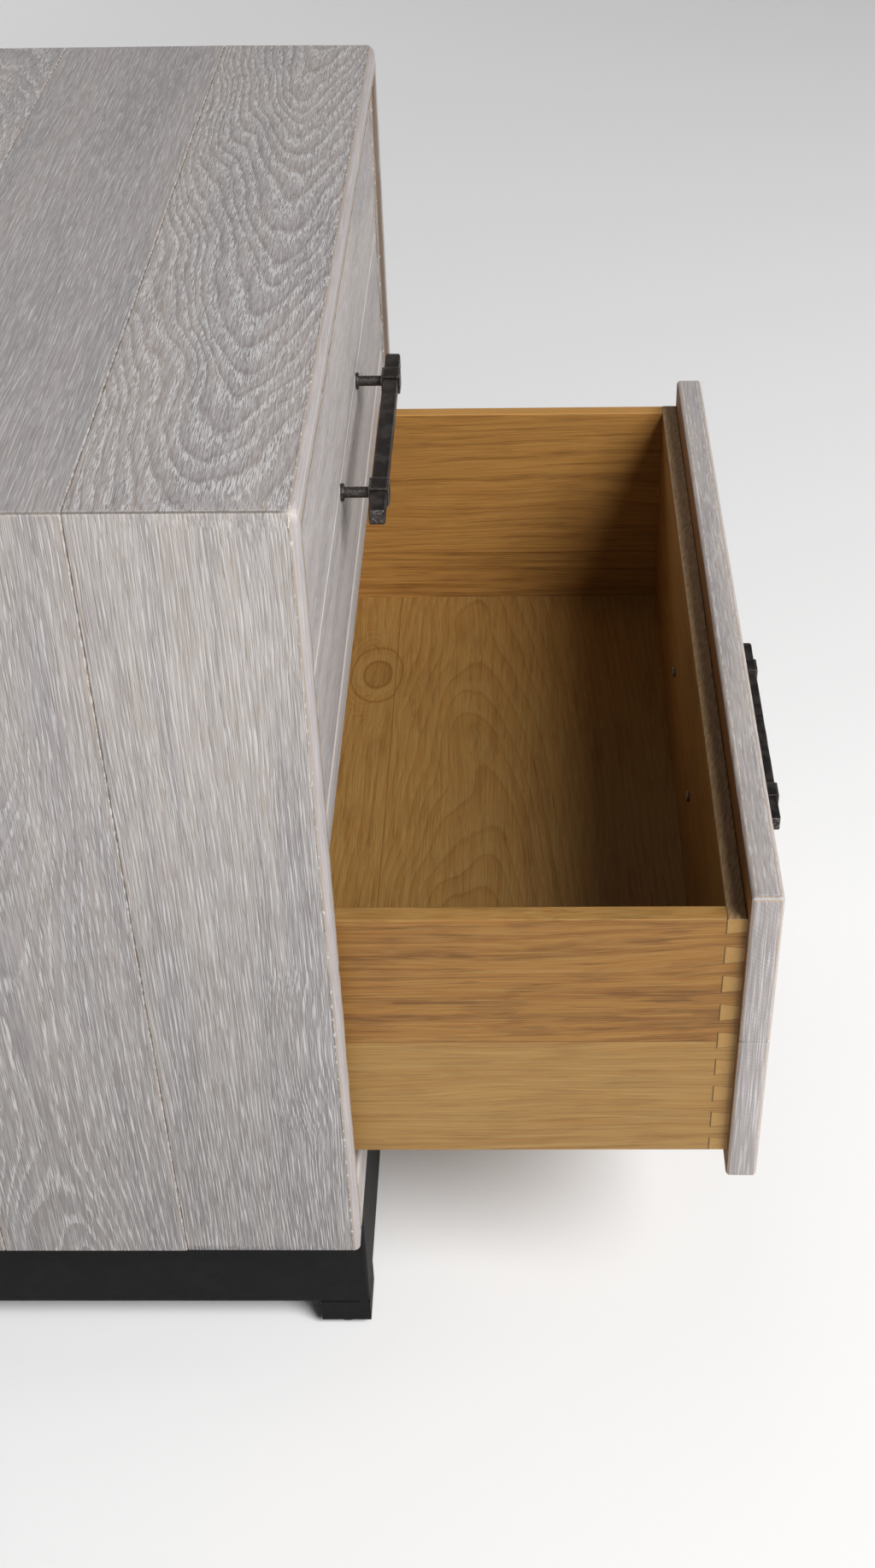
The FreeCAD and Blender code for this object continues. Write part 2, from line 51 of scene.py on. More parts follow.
class Field:
    """A number or colour that varies over a finish, worked out by nodes."""

    def __init__(self, finish, output):
        self.finish = finish
        self.output = output

    def __add__(self, other):
        return self.finish.reckon("ADD", self, other)

    def __radd__(self, other):
        return self.finish.reckon("ADD", other, self)

    def __sub__(self, other):
        return self.finish.reckon("SUBTRACT", self, other)

    def __rsub__(self, other):
        return self.finish.reckon("SUBTRACT", other, self)

    def __mul__(self, other):
        return self.finish.reckon("MULTIPLY", self, other)

    def __rmul__(self, other):
        return self.finish.reckon("MULTIPLY", other, self)

    def __truediv__(self, other):
        return self.finish.reckon("DIVIDE", self, other)

    def __abs__(self):
        return self.finish.reckon("ABSOLUTE", self)

    def __mod__(self, other):
        return self.finish.reckon("FLOORED_MODULO", self, other)

    def least(self, other):
        return self.finish.reckon("MINIMUM", self, other)

    def most(self, other):
        return self.finish.reckon("MAXIMUM", self, other)

    def rise(self, low, high):
        """0 up to low, 1 from high on, and smooth between."""
        ramp = self.finish.add("ShaderNodeMapRange", interpolation_type="SMOOTHSTEP")
        for name, value in (("Value", self), ("From Min", low), ("From Max", high)):
            self.finish.feed(ramp.inputs[name], value)
        return Field(self.finish, ramp.outputs["Result"])

    def fall(self, low, high):
        """1 up to low, 0 from high on, and smooth between."""
        return 1.0 - self.rise(low, high)


class Finish:
    """A material whose colour, gloss and relief follow the piece's own place, in millimetres. It starts
    from the colour of its ground. In rise and fall, limits are millimetres for a distance and 0 to 1
    for noise; a coat's last factor is how strongly it shows."""

    # Numbers of the sockets of a node that mixes two colours.
    MIX_SHARE, MIX_UNDER, MIX_OVER = 0, 6, 7
    MIX_RESULT = 2

    def __init__(self, name, ground, metallic=0.0, specular=0.5):
        self.material = bpy.data.materials.new(name)
        self.material.use_nodes = True
        self.tree = self.material.node_tree
        self.shader = self.tree.nodes["Principled BSDF"]
        self.shader.inputs["Metallic"].default_value = metallic
        self.shader.inputs["Specular IOR Level"].default_value = specular
        self.colour = ground
        scaled = self.add("ShaderNodeVectorMath", operation="SCALE")
        scaled.inputs["Scale"].default_value = 1 / MM
        self.tree.links.new(self.add("ShaderNodeTexCoord").outputs["Object"], scaled.inputs[0])
        parts = self.add("ShaderNodeSeparateXYZ")
        self.tree.links.new(scaled.outputs["Vector"], parts.inputs[0])
        self.place = [Field(self, parts.outputs[axis]) for axis in "XYZ"]

    def add(self, kind, **settings):
        node = self.tree.nodes.new(kind)
        for name, value in settings.items():
            setattr(node, name, value)
        return node

    def feed(self, socket, value):
        if isinstance(value, Field):
            self.tree.links.new(value.output, socket)
        else:
            socket.default_value = value

    def reckon(self, operation, *values):
        node = self.add("ShaderNodeMath", operation=operation)
        for socket, value in zip(node.inputs, values):
            self.feed(socket, value)
        return Field(self, node.outputs[0])

    def noise(self, x, y, z, detail=2.0, roughness=0.5):
        """Cloudy noise from 0 to 1, with one cell to each unit of x, y and z."""
        joined = self.add("ShaderNodeCombineXYZ")
        for socket, value in zip(joined.inputs, (x, y, z)):
            self.feed(socket, value)
        texture = self.add("ShaderNodeTexNoise")
        self.tree.links.new(joined.outputs[0], texture.inputs["Vector"])
        for name, value in (("Scale", 1.0), ("Detail", detail), ("Roughness", roughness)):
            texture.inputs[name].default_value = value
        return Field(self, texture.outputs["Fac"])

    def cloud(self, wide, detail=2.0, roughness=0.5):
        """Cloudy noise with cells of one width, in millimetres, in every direction."""
        return self.noise(*(axis / wide for axis in self.place), detail, roughness)

    def paint(self, under, over, amount):
        """One colour over another, as far as amount says."""
        mix = self.add("ShaderNodeMix", data_type="RGBA")
        for number, value in ((self.MIX_SHARE, amount), (self.MIX_UNDER, under), (self.MIX_OVER, over)):
            self.feed(mix.inputs[number], value)
        return Field(self, mix.outputs[self.MIX_RESULT])

    def coat(self, tone, amount):
        """Lay one more colour over the finish, as far as amount says."""
        self.colour = self.paint(self.colour, tone, amount)
        self.feed(self.shader.inputs["Base Color"], self.colour)

    def arris(self, low, high, place=None):
        """Distance from a squared piece's nearest edge, for a point on its surface."""
        gaps = [(axis - a).least(b - axis) for axis, a, b in zip(place or self.place, low, high)]
        return gaps[0].least(gaps[1]).most(gaps[0].most(gaps[1]).least(gaps[2]))

    def settle(self, roughness, height):
        """Take the worked-out roughness and height, the last in millimetres."""
        self.feed(self.shader.inputs["Roughness"], roughness)
        bump = self.add("ShaderNodeBump")
        bump.inputs["Strength"].default_value = 1.0
        bump.inputs["Distance"].default_value = MM
        self.feed(bump.inputs["Height"], height)
        self.tree.links.new(bump.outputs["Normal"], self.shader.inputs["Normal"])


def tint(red, green, blue):
    """A colour as a screen shows it, from 0 to 255, as the shader wants it."""
    def linear(part):
        part /= 255
        return part / 12.92 if part <= 0.04045 else ((part + 0.055) / 1.055) ** 2.4
    return (linear(red), linear(green), linear(blue), 1.0)


def dress(name, finish):
    """Give a node its finish."""
    nodes[name].material_slots[0].material = finish.material


BASE_BLACK = tint(12, 11, 11)
BASE_GREY = tint(26, 25, 26)
BASE_RUST = tint(52, 42, 34)
SCALE_WIDE = 14
PIT_WIDE = 2.2
base_iron = Finish("base_iron", BASE_BLACK, metallic=0.2, specular=0.25)
scale = base_iron.cloud(SCALE_WIDE, detail=5, roughness=0.65)
pits = base_iron.cloud(PIT_WIDE)
base_iron.coat(BASE_GREY, scale.rise(0.35, 0.75))
base_iron.coat(BASE_RUST, pits.rise(0.66, 0.8) * 0.4)
base_iron.settle(0.6 + scale * 0.25, scale * 0.3 + pits * 0.1)
for name in ("front_rail", "rear_rail", "left_rail", "right_rail", "feet", "gussets"):
    dress(f"base_{name}", base_iron)

GLIDE_DARK = tint(46, 46, 47)
GLIDE_GREY = tint(66, 65, 64)
GRIT_WIDE = 0.8
glide = Finish("glide", GLIDE_DARK)
grit = glide.cloud(GRIT_WIDE, detail=3)
glide.coat(GLIDE_GREY, grit)
glide.settle(0.6 + grit * 0.2, grit * 0.08)
dress("base_glides", glide)

ROLLED_WIDE, ROLLED_LONG = 0.7, 60
PLATING_WIDE, PLATING_LONG = 18, 25


def zinc(name, pale, dark):
    """Zinc-plated steel: fine rolling marks along the depth and a cloudy plating."""
    finish = Finish(name, dark, metallic=1.0)
    x, y, z = finish.place
    rolled = finish.noise(x / ROLLED_WIDE, y / ROLLED_LONG, z / ROLLED_WIDE, detail=3)
    plating = finish.noise(x / PLATING_WIDE, y / PLATING_LONG, z / PLATING_WIDE, detail=3)
    finish.coat(pale, plating.rise(0.25, 0.75))
    finish.settle(0.26 + rolled * 0.22, rolled * 0.02)
    return finish


screw_zinc = zinc("screw_zinc", tint(176, 170, 160), tint(120, 114, 106))
dress("base_screws", screw_zinc)


# Case top and sides: oak planks edge-glued and mitred at the corners, so each seam turns down the
# side. Wire-brushed and limed so that the open pores are white. The front edges are planed, and their
# arrises and the two front corners are rubbed and nicked to bare wood.
AXES = {"x": 0, "y": 1, "z": 2}
ALONG, ACROSS, THROUGH = range(3)
LOW, HIGH = 0, 1
LIME_WHITE = tint(208, 206, 206)
LIME_PALE = tint(176, 169, 168)
LIME_GREY = tint(148, 142, 141)
LIME_COOL = tint(147, 143, 145)
PORE_SHADE = tint(104, 96, 91)
LOW_SHADE_GREY = tint(108, 105, 104)
WORN_TAN = tint(172, 147, 118)
WORN_CREAM = tint(196, 188, 180)
SEAM_AND_SHADOW_DARK = tint(92, 82, 74)

# How the rings sway and waver, and the grain's length and width, in millimetres.
SEED_STEP = 37.0
SWAY_SIZE = (170, 60)
SWAY_ACROSS = 22
SWAY_DEEP = 18
WAVE_SIZE = (34, 8)
UNEVEN_RINGS = 3.2
UNEVEN_SHARE = 1.7
FIBRE_SIZE = (60.0, 0.8)
DRIFT_SIZE = (260.0, 18.0)
CHIP_SIZE = (6.0, 2.5)
HAIR_LONGER = 1.3
FOOT_FROM, FOOT_TO = 100.0, 600.0


def reach(*names):
    """The lowest and highest corner of some nodes taken together, in millimetres."""
    boxes = [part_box(name) for name in names]
    low = [min(box[0][axis] for box in boxes) / MM for axis in range(3)]
    high = [max(box[1][axis] for box in boxes) / MM for axis in range(3)]
    return low, high


class Oak(Finish):
    """A finish that follows a board's rings. lay names the axes along the grain, across the board and
    through it. heart is where the tree's middle lies, across and below the board's own middle; lean
    and bow tilt and bend it along the board, which draws arched figure; ring is a ring's width and
    wavy how far it wavers; eyes are swirls, each with its place along and across, length, width and
    height. u, v and w run along, across and through the board from its middle, and phase is the
    place within a ring, from 0 to 1."""

    def __init__(self, names, lay, seed, ground, heart, lean=0.0, bow=(0.0, 0.0), ring=4.0, wavy=0.55,
                 eyes=(), specular=0.5):
        super().__init__(f"{names[0]}_oak", ground, specular=specular)
        self.low, self.high = reach(*names)
        self.lay = [AXES[axis] for axis in lay]
        middle = [(low + high) / 2 for low, high in zip(self.low, self.high)]
        self.u, self.v, self.w = (self.place[axis] - middle[axis] for axis in self.lay)
        self.shift = SEED_STEP * seed
        sway = self.streak(*SWAY_SIZE) - 0.5
        wave = self.streak(*WAVE_SIZE) - 0.5
        side = self.v - heart[0] + sway * SWAY_ACROSS
        rise = self.w + heart[1] + self.u * lean + sway * SWAY_DEEP
        if bow[1]:
            past = self.u - bow[0]
            rise = rise - past * past * bow[1]
        radius = self.reckon("SQRT", side * side + rise * rise)
        for place, level, long, wide, tall in eyes:
            radius = radius + self.spread(self.u, place, level, long, wide).fall(0.0, 1.0) * tall
        uneven = self.noise(radius / (ring * UNEVEN_RINGS) + self.shift, 0.0, 0.0, detail=0)
        self.phase = (radius / ring + uneven * UNEVEN_SHARE + wave * wavy) % 1.0

    def streak(self, long, wide, detail=1.0, roughness=0.5):
        """Noise drawn out along the grain."""
        return self.noise(self.u / long + self.shift, self.v / wide, self.w / wide, detail, roughness)

    def spread(self, u, place, level, long, wide):
        """How far out from an oval a point lies: 0 in its middle, 1 on its line."""
        off_long = u - place
        off_wide = self.v - level
        return off_long * off_long / long ** 2 + off_wide * off_wide / wide ** 2

    def gap(self, way, end):
        """Distance in from the low or high end of the board, along, across or through it."""
        axis = self.lay[way]
        if end == HIGH:
            return self.high[axis] - self.place[axis]
        return self.place[axis] - self.low[axis]


def glued_seam(oak, end):
    """A joint with the next plank: tan and white along it, and a broken dark line."""
    gap = oak.gap(ACROSS, end)
    oak.coat(WORN_TAN, gap.fall(1.2, 4.0) * oak.fibre.rise(0.5, 0.62) * 0.5)
    oak.coat(LIME_WHITE, gap.fall(0.7, 1.4) * oak.chip.rise(0.4, 0.6) * 0.6)
    oak.coat(SEAM_AND_SHADOW_DARK, gap.fall(0.25, 0.7) * oak.chip.fall(0.45, 0.7) * 0.65)


def mitre_line(oak, end, outer):
    """A mitre, seen on the front edge and at the rear: a dark line with pale chips along it."""
    gap = abs(oak.gap(ALONG, end) - oak.gap(THROUGH, outer))
    oak.coat(WORN_CREAM, gap.fall(0.8, 2.4) * oak.chip.fall(0.42, 0.6) * 0.7)
    oak.coat(SEAM_AND_SHADOW_DARK, gap.fall(0.45, 0.75) * 0.6)


def planed_strip(oak, mitres, outer):
    """The front edge of a plank, planed smooth and rubbed pale, with tan along its two arrises, a dark
    line at the opening that is painted shadow, white nicks, and pale corners where it is mitred."""
    fibre, chip = oak.fibre, oak.chip
    front = oak.gap(ACROSS, LOW)
    inner = oak.gap(THROUGH, HIGH - outer)
    planed = oak.paint(LIME_GREY, LIME_PALE, 0.35 + fibre.rise(0.35, 0.7) * 0.65)
    planed = oak.paint(planed, LIME_WHITE, abs(inner + chip * 2.0 - 14.0).fall(0.5, 1.3) * 0.6)
    planed = oak.paint(planed, WORN_TAN, (inner + chip * 3.0).fall(6.8, 8.2) * 0.7)
    # Painted shadow: the dark line along the inner arris stands in for the shade at the opening below
    # the edge.
    planed = oak.paint(planed, SEAM_AND_SHADOW_DARK, (inner + chip * 4.0).fall(4.6, 5.6) * 0.75)
    oak.coat(planed, (front + chip).fall(3.6, 5.0))
    oak.coat(WORN_TAN, abs(front + chip - 4.2).fall(0.3, 0.8) * 0.5)
    shaded = abs(front + chip * 2.0 - 5.9).fall(0.2, 0.6)
    oak.coat(PORE_SHADE, shaded * fibre.rise(0.4, 0.55) * 0.6)
    oak.coat(LIME_WHITE, (abs(front - 4.4) + chip * 8.0).fall(3.2, 3.8) * 0.8)
    for end in mitres:
        oak.coat(WORN_CREAM, (oak.gap(ALONG, end) + front).fall(5.0, 11.0) * 0.85)


def rubbed_arrises(oak, wear):
    """Arrises rubbed pale as wide as wear says, with a tan line, a white line and white nicks."""
    edge, chip = oak.edge, oak.chip
    rubbed = oak.paint(WORN_CREAM, LIME_PALE, oak.fibre.rise(0.35, 0.65))
    oak.coat(rubbed, (edge + chip * 1.2).fall(wear * 0.7, wear * 1.1) * 0.8)
    oak.coat(WORN_TAN, abs(edge + chip * 1.4 - wear - 0.9).fall(0.25, 0.6) * 0.6)
    limed = abs(edge - wear - 1.4).fall(0.2, 0.6)
    oak.coat(LIME_WHITE, limed * chip.rise(0.4, 0.56) * 0.6)
    oak.coat(LIME_WHITE, (edge + chip * 9.0).fall(3.0, 3.6) * 0.8)


def limed_oak(names, lay, seed, band=0.45, pore=(8.0, 0.7), hairs=0.34, brushed=1.0, cool=0.0, warm=0.0,
              shady=0.2, floor_shade=0.0, seams=(), mitres=(), outer=HIGH, strip=False, wear=0.0, **rings):
    """Limed oak. band is the share of a ring that holds open pores, pore their length and width, hairs
    the width of the finest ones, and brushed how strongly they show; cool and warm tint the wood,
    shady is how dark its late wood is, and foot how far it is painted greyer towards the floor as
    painted shade for light that falls off lower down. seams and mitres name the ends that are glued or
    mitred, and outer is the outer face; strip says that the front edge is planed, and wear is how wide
    all arrises are rubbed."""
    oak = Oak(names, lay, seed, LIME_GREY, **rings)
    early = oak.phase.rise(0.0, 0.1) * oak.phase.fall(band * 0.6, band * 1.4)
    late = oak.phase.rise(0.7, 0.95)
    stroke = oak.streak(*pore)
    hair = oak.streak(pore[0] * HAIR_LONGER, hairs)
    drift = oak.streak(*DRIFT_SIZE, detail=2.0)
    oak.fibre = oak.streak(*FIBRE_SIZE, detail=2.0, roughness=0.6)
    oak.chip = oak.streak(*CHIP_SIZE, detail=2.0, roughness=0.6)
    line = 0.63 - early * (0.17 * brushed)
    lime = stroke.rise(line, line + 0.1)
    stroke_shadow = stroke.rise(line - 0.14, line - 0.03) * (1.0 - lime) * (0.3 + 0.7 * early)

    oak.coat(LIME_PALE, oak.fibre.rise(0.3, 0.7))
    oak.coat(LIME_COOL, drift.rise(0.4, 0.7) * 0.4 + cool)
    if warm:
        oak.coat(WORN_CREAM, drift.fall(0.35, 0.7) * warm)
    # Painted shadow: a dark rim round each white stroke, tan in places where bare wood shows, stands in
    # for the shade beside the brushed relief; the late wood's darker tone in the same coat is its own
    # colour.
    shade = oak.paint(PORE_SHADE, WORN_TAN, drift.fall(0.35, 0.6) * 0.5)
    oak.coat(shade, stroke_shadow * (0.45 * brushed) + late * (shady * brushed))
    oak.coat(PORE_SHADE, hair.fall(0.37, 0.47) * (0.34 * brushed))
    # Painted shade: the wood turns greyer and darker towards the floor, standing in for light that falls
    # off lower down the sides.
    if floor_shade:
        oak.coat(LOW_SHADE_GREY, oak.place[AXES["z"]].fall(FOOT_FROM, FOOT_TO) * floor_shade)
    white = (lime * 0.75).most(hair.rise(0.54, 0.64) * 0.45)
    oak.coat(LIME_WHITE, white * (0.3 + 0.6 * brushed))
    for end in seams:
        glued_seam(oak, end)
    for end in mitres:
        mitre_line(oak, end, outer)
    if strip:
        planed_strip(oak, mitres, outer)
    if wear:
        oak.edge = oak.arris(oak.low, oak.high)
        rubbed_arrises(oak, wear)
    oak.settle(0.6 + oak.fibre * 0.2, brushed * (oak.fibre * 0.12 - lime * 0.1 - early * 0.1))
    for name in names:
        dress(name, oak)
    return oak


# Wear of the arrises: lengths and depths in millimetres.
WELD = 0.002
SLIVER = 0.06
FLAT_ANGLE = math.radians(0.6)
SHARP_ANGLE = math.radians(33)
RUB_LONG = 17.0
RUB_DEEP = 0.55
RUB_MEAN, RUB_VARIES = 0.5, 0.9
NICK_LONG = 5.0
NICK_DEEP = 2.2
NICK_RARE = 0.3
NICK_SHIFT = Vector((7.0, 3.0, 5.0))
END_CUT = 3.0
SEAM_NEAR = 0.05
MITRE_CALM = 8.0
MITRE_NEAR = 1.2
CORNER_REACH = 14.0
CORNER_DEEP = 2.4
CORNER_CURVE = 1.5
CASE_ROUND = 4.5
CASE_CUT = 7.0
CASE_HALF = reach("top_plank_1")[HIGH][AXES["x"]]
CASE_TOP = reach("top_plank_1")[HIGH][AXES["z"]]


def finely_cut(name, cuts):
    """A plank's mesh cut through every few millimetres, as cuts says for each axis."""
    form = bmesh.new()
    form.from_mesh(nodes[name].data)
    bmesh.ops.remove_doubles(form, verts=form.verts, dist=WELD * MM)
    bmesh.ops.dissolve_limit(form, angle_limit=FLAT_ANGLE, verts=form.verts, edges=form.edges)
    for axis, step in cuts:
        number = AXES[axis]
        start, stop = (corner[number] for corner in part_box(name))
        count = round((stop - start) / MM / step)
        across = Vector([float(number == other) for other in range(3)])
        places = [start + (stop - start) * cut / count for cut in range(1, count)]
        for place in [start + END_CUT * MM, *places, stop - END_CUT * MM]:
            geometry = [*form.verts, *form.edges, *form.faces]
            bmesh.ops.bisect_plane(form, geom=geometry, plane_co=across * place, plane_no=across)
    bmesh.ops.remove_doubles(form, verts=form.verts, dist=SLIVER * MM)
    form.normal_update()
    return form


def close_groove(spot, low, high, rounded):
    """Bring a point of a seam's bevel out to the piece's rounded end."""
    half = (high[0] - low[0]) / 2
    inset = min(max(spot.y, low[1] + rounded), high[1] - rounded)
    middle = Vector((math.copysign(half - rounded, spot.x), inset))
    if abs(spot.x) > half - rounded + SEAM_NEAR:
        out = Vector((spot.x, spot.y)) - middle
        if out.length > rounded / 2:
            spot.xy = middle + out.normalized() * rounded


def off_mitre(spot):
    """How far a point of the case lies from the mitre of its top and side."""
    return abs(CASE_HALF - abs(spot.x) - CASE_TOP + spot.z)


def worn_copy(name, body, finish, whole, rounded, cuts, seam=None):
    """Put in a plank's place a finely cut copy whose arrises are rubbed down and nicked, and on the case
    its front corners worn round. whole lists the planks that make up the squared piece, rounded is the
    radius of its edges, and seam is the level of a groove that is closed at the piece's two ends."""
    low, high = reach(*whole)
    form = finely_cut(name, cuts)
    for point in form.verts:
        spot = point.co / MM
        if seam is not None and abs(spot.z - seam) < SEAM_NEAR:
            close_groove(spot, low, high, rounded)
            point.co = spot * MM
        near = 1 - sorted(min(a - b, c - a) for a, b, c in zip(spot, low, high))[1] / rounded
        if near > 0:
            rub = RUB_MEAN + noise.noise(spot / RUB_LONG) * RUB_VARIES
            nick = max(0.0, noise.noise(spot / NICK_LONG + NICK_SHIFT) - NICK_RARE)
            depth = near * max(0.0, rub * RUB_DEEP + nick * NICK_DEEP)
            if body == "case":
                depth *= min(1.0, off_mitre(spot) / MITRE_CALM)
            point.co -= point.normal * (depth * MM)
        if body == "case":
            corner = Vector((math.copysign(CASE_HALF, spot.x), low[1], CASE_TOP))
            close = max(0.0, 1 - (spot - corner).length / CORNER_REACH)
            inward = Vector((-math.copysign(1.0, spot.x), 1.0, -1.0)).normalized()
            point.co += inward * (CORNER_DEEP * close ** CORNER_CURVE * MM)
    mesh = bpy.data.meshes.new(f"worn_{name}")
    form.to_mesh(mesh)
    form.free()
    mesh.shade_smooth()
    mesh.set_sharp_from_angle(angle=SHARP_ANGLE)
    if body == "case":
        for edge in mesh.edges:
            if all(off_mitre(mesh.vertices[end].co / MM) < MITRE_NEAR for end in edge.vertices):
                edge.use_edge_sharp = True
    mesh.materials.append(finish.material)
    piece = bpy.data.objects.new(mesh.name, mesh)
    bpy.context.scene.collection.objects.link(piece)
    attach(piece, body)
    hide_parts(name)


top_planks = [f"top_plank_{number}" for number in range(1, 5)]
top_oak = limed_oak(
    top_planks[:1], "xyz", 1, heart=(-17, 76), lean=-0.09, ring=3.4, band=0.5, pore=(9.0, 0.52),
    shady=0.35, brushed=1.1, seams=[HIGH], mitres=[LOW, HIGH], strip=True,
)
worn_copy("top_plank_1", "case", top_oak, top_planks, CASE_ROUND, (("x", CASE_CUT),))
limed_oak(
    ["top_plank_2"], "xyz", 2, heart=(230, 90), ring=2.4, pore=(20.0, 0.6), brushed=0.75, cool=0.35,
    seams=[LOW, HIGH], mitres=[LOW, HIGH],
)
limed_oak(
    ["top_plank_3"], "xyz", 3, heart=(-20, 70), lean=0.08, ring=3.6,
    seams=[LOW, HIGH], mitres=[LOW, HIGH],
)
limed_oak(
    ["top_plank_4"], "xyz", 4, heart=(-180, 80), ring=2.6, pore=(16.0, 0.7), brushed=0.7, cool=0.2,
    seams=[LOW], mitres=[LOW, HIGH],
)
for hand, seed, outer in (("left", 10, LOW), ("right", 20, HIGH)):
    side_planks = [f"{hand}_plank_{number}" for number in range(1, 5)]
    side_oak = limed_oak(
        side_planks[:1], "zyx", seed + 1, heart=(150, 60), lean=0.02, ring=2.3, band=0.5,
        pore=(27.0, 0.42), brushed=1.1, eyes=[(-101, -30, 85, 26, 7)], warm=0.45, floor_shade=0.68,
        seams=[HIGH], mitres=[HIGH], outer=outer, strip=True,
    )
    worn_copy(f"{hand}_plank_1", "case", side_oak, side_planks, CASE_ROUND, (("z", CASE_CUT),))
    limed_oak(
        [f"{hand}_plank_2"], "zyx", seed + 2, heart=(17, 70), bow=(-120, 0.00042), ring=3.4, band=0.42,
        pore=(22.0, 0.55), warm=0.25, floor_shade=0.62, seams=[LOW, HIGH], mitres=[HIGH], outer=outer,
    )
    limed_oak(
        [f"{hand}_plank_3"], "zyx", seed + 3, heart=(-170, 70), ring=2.6, pore=(22.0, 0.65), brushed=0.8,
        warm=0.2, floor_shade=0.62, seams=[LOW, HIGH], mitres=[HIGH], outer=outer,
    )
    limed_oak(
        [f"{hand}_plank_4"], "zyx", seed + 4, heart=(12, 80), lean=-0.08, ring=3.6, pore=(16.0, 0.7),
        floor_shade=0.62, seams=[LOW], mitres=[HIGH], outer=outer,
    )


# Rails, bottom and back of the case: the rails are oak strips glued between the sides, one between
# the drawers and one under them, and the bottom and back are boards of the same limed oak.
limed_oak(["mid_rail"], "xzy", 31, heart=(60, 30), ring=3.0, brushed=0.4, warm=0.5, wear=2.4)
limed_oak(["bottom_rail"], "xzy", 32, heart=(70, 30), ring=3.0, brushed=0.5, warm=0.4, wear=2.4)
limed_oak(["bottom_panel"], "xyz", 33, heart=(0, 60), lean=0.05, brushed=0.4)
limed_oak(["back_panel"], "zxy", 34, heart=(30, 60), lean=0.06, ring=5.0, brushed=0.5, wear=1.6)


# Drawer slides: folded zinc-plated sheet steel. A member is screwed to the case side, a tube runs
# in it, and the drawer rests on a third that rides on the tube.
slide_zinc = zinc("slide_zinc", tint(206, 208, 210), tint(172, 176, 180))
for tag in ("upper", "lower"):
    for hand in ("left", "right"):
        for member in ("cabinet", "middle", "runner"):
            dress(f"{tag}_slide_{hand}_{member}", slide_zinc)
dress("slide_screws", screw_zinc)


# Drawer boxes: clear-finished golden oak boards, dovetailed at the four corners, with a bottom of
# joined staves held in grooves. The pins' end grain shows pale on the sides, with dark glue lines.
OAK_GOLD = tint(149, 101, 42)
OAK_PALE = tint(165, 132, 77)
OAK_AMBER = tint(180, 132, 70)
OAK_BROWN = tint(108, 65, 22)
OAK_PORE = tint(82, 50, 18)
OAK_END = tint(176, 138, 80)
OAK_BARE = tint(176, 148, 112)
GLUE_LINE = tint(58, 38, 18)
PIN_PITCH = 25.0
PIN_NARROW = 11.5
PIN_WIDE = 14.6
BOARD = 12.5

# Length and width of the clear oak's grain and saw marks, in millimetres.
STAVE_SHIFT = 61.0
STRAY_SIZE, STRAY_FAR = (190.0, 45.0), 16.0
THREAD_SIZE = (60.0, 0.5)
DASH_SIZE = (44.0, 0.45)
FLECK_SIZE = (14.0, 0.5)
BAND_SIZE = (150.0, 4.0)
PATCH_SIZE = (45.0, 9.0)
SAW_LONG, SAW_SLANT, SAW_WIDE = 5, 2.2, 3


def dovetail_lines(oak, tag):
    """Dark lines round the pins at both ends of a box, seen on its left and right sides."""
    low, high = reach(f"{tag}_box_left")
    y, z = oak.place[1:]
    spare = (high[2] - low[2]) % PIN_PITCH / 2
    offset = abs((z - low[2] - spare + PIN_PITCH / 2) % PIN_PITCH - PIN_PITCH / 2)
    ends = []
    for inset in (y - low[1], high[1] - y):
        half = (PIN_NARROW + inset * ((PIN_WIDE - PIN_NARROW) / BOARD)) / 2
        flank = abs(offset - half).fall(0.1, 0.5) * inset.fall(BOARD, BOARD + 0.3) * 0.6
        root = abs(inset - BOARD).fall(0.2, 0.65) * (offset - half).fall(0.0, 0.4)
        ends.append(flank.most(root))
    return ends[0].most(ends[1])


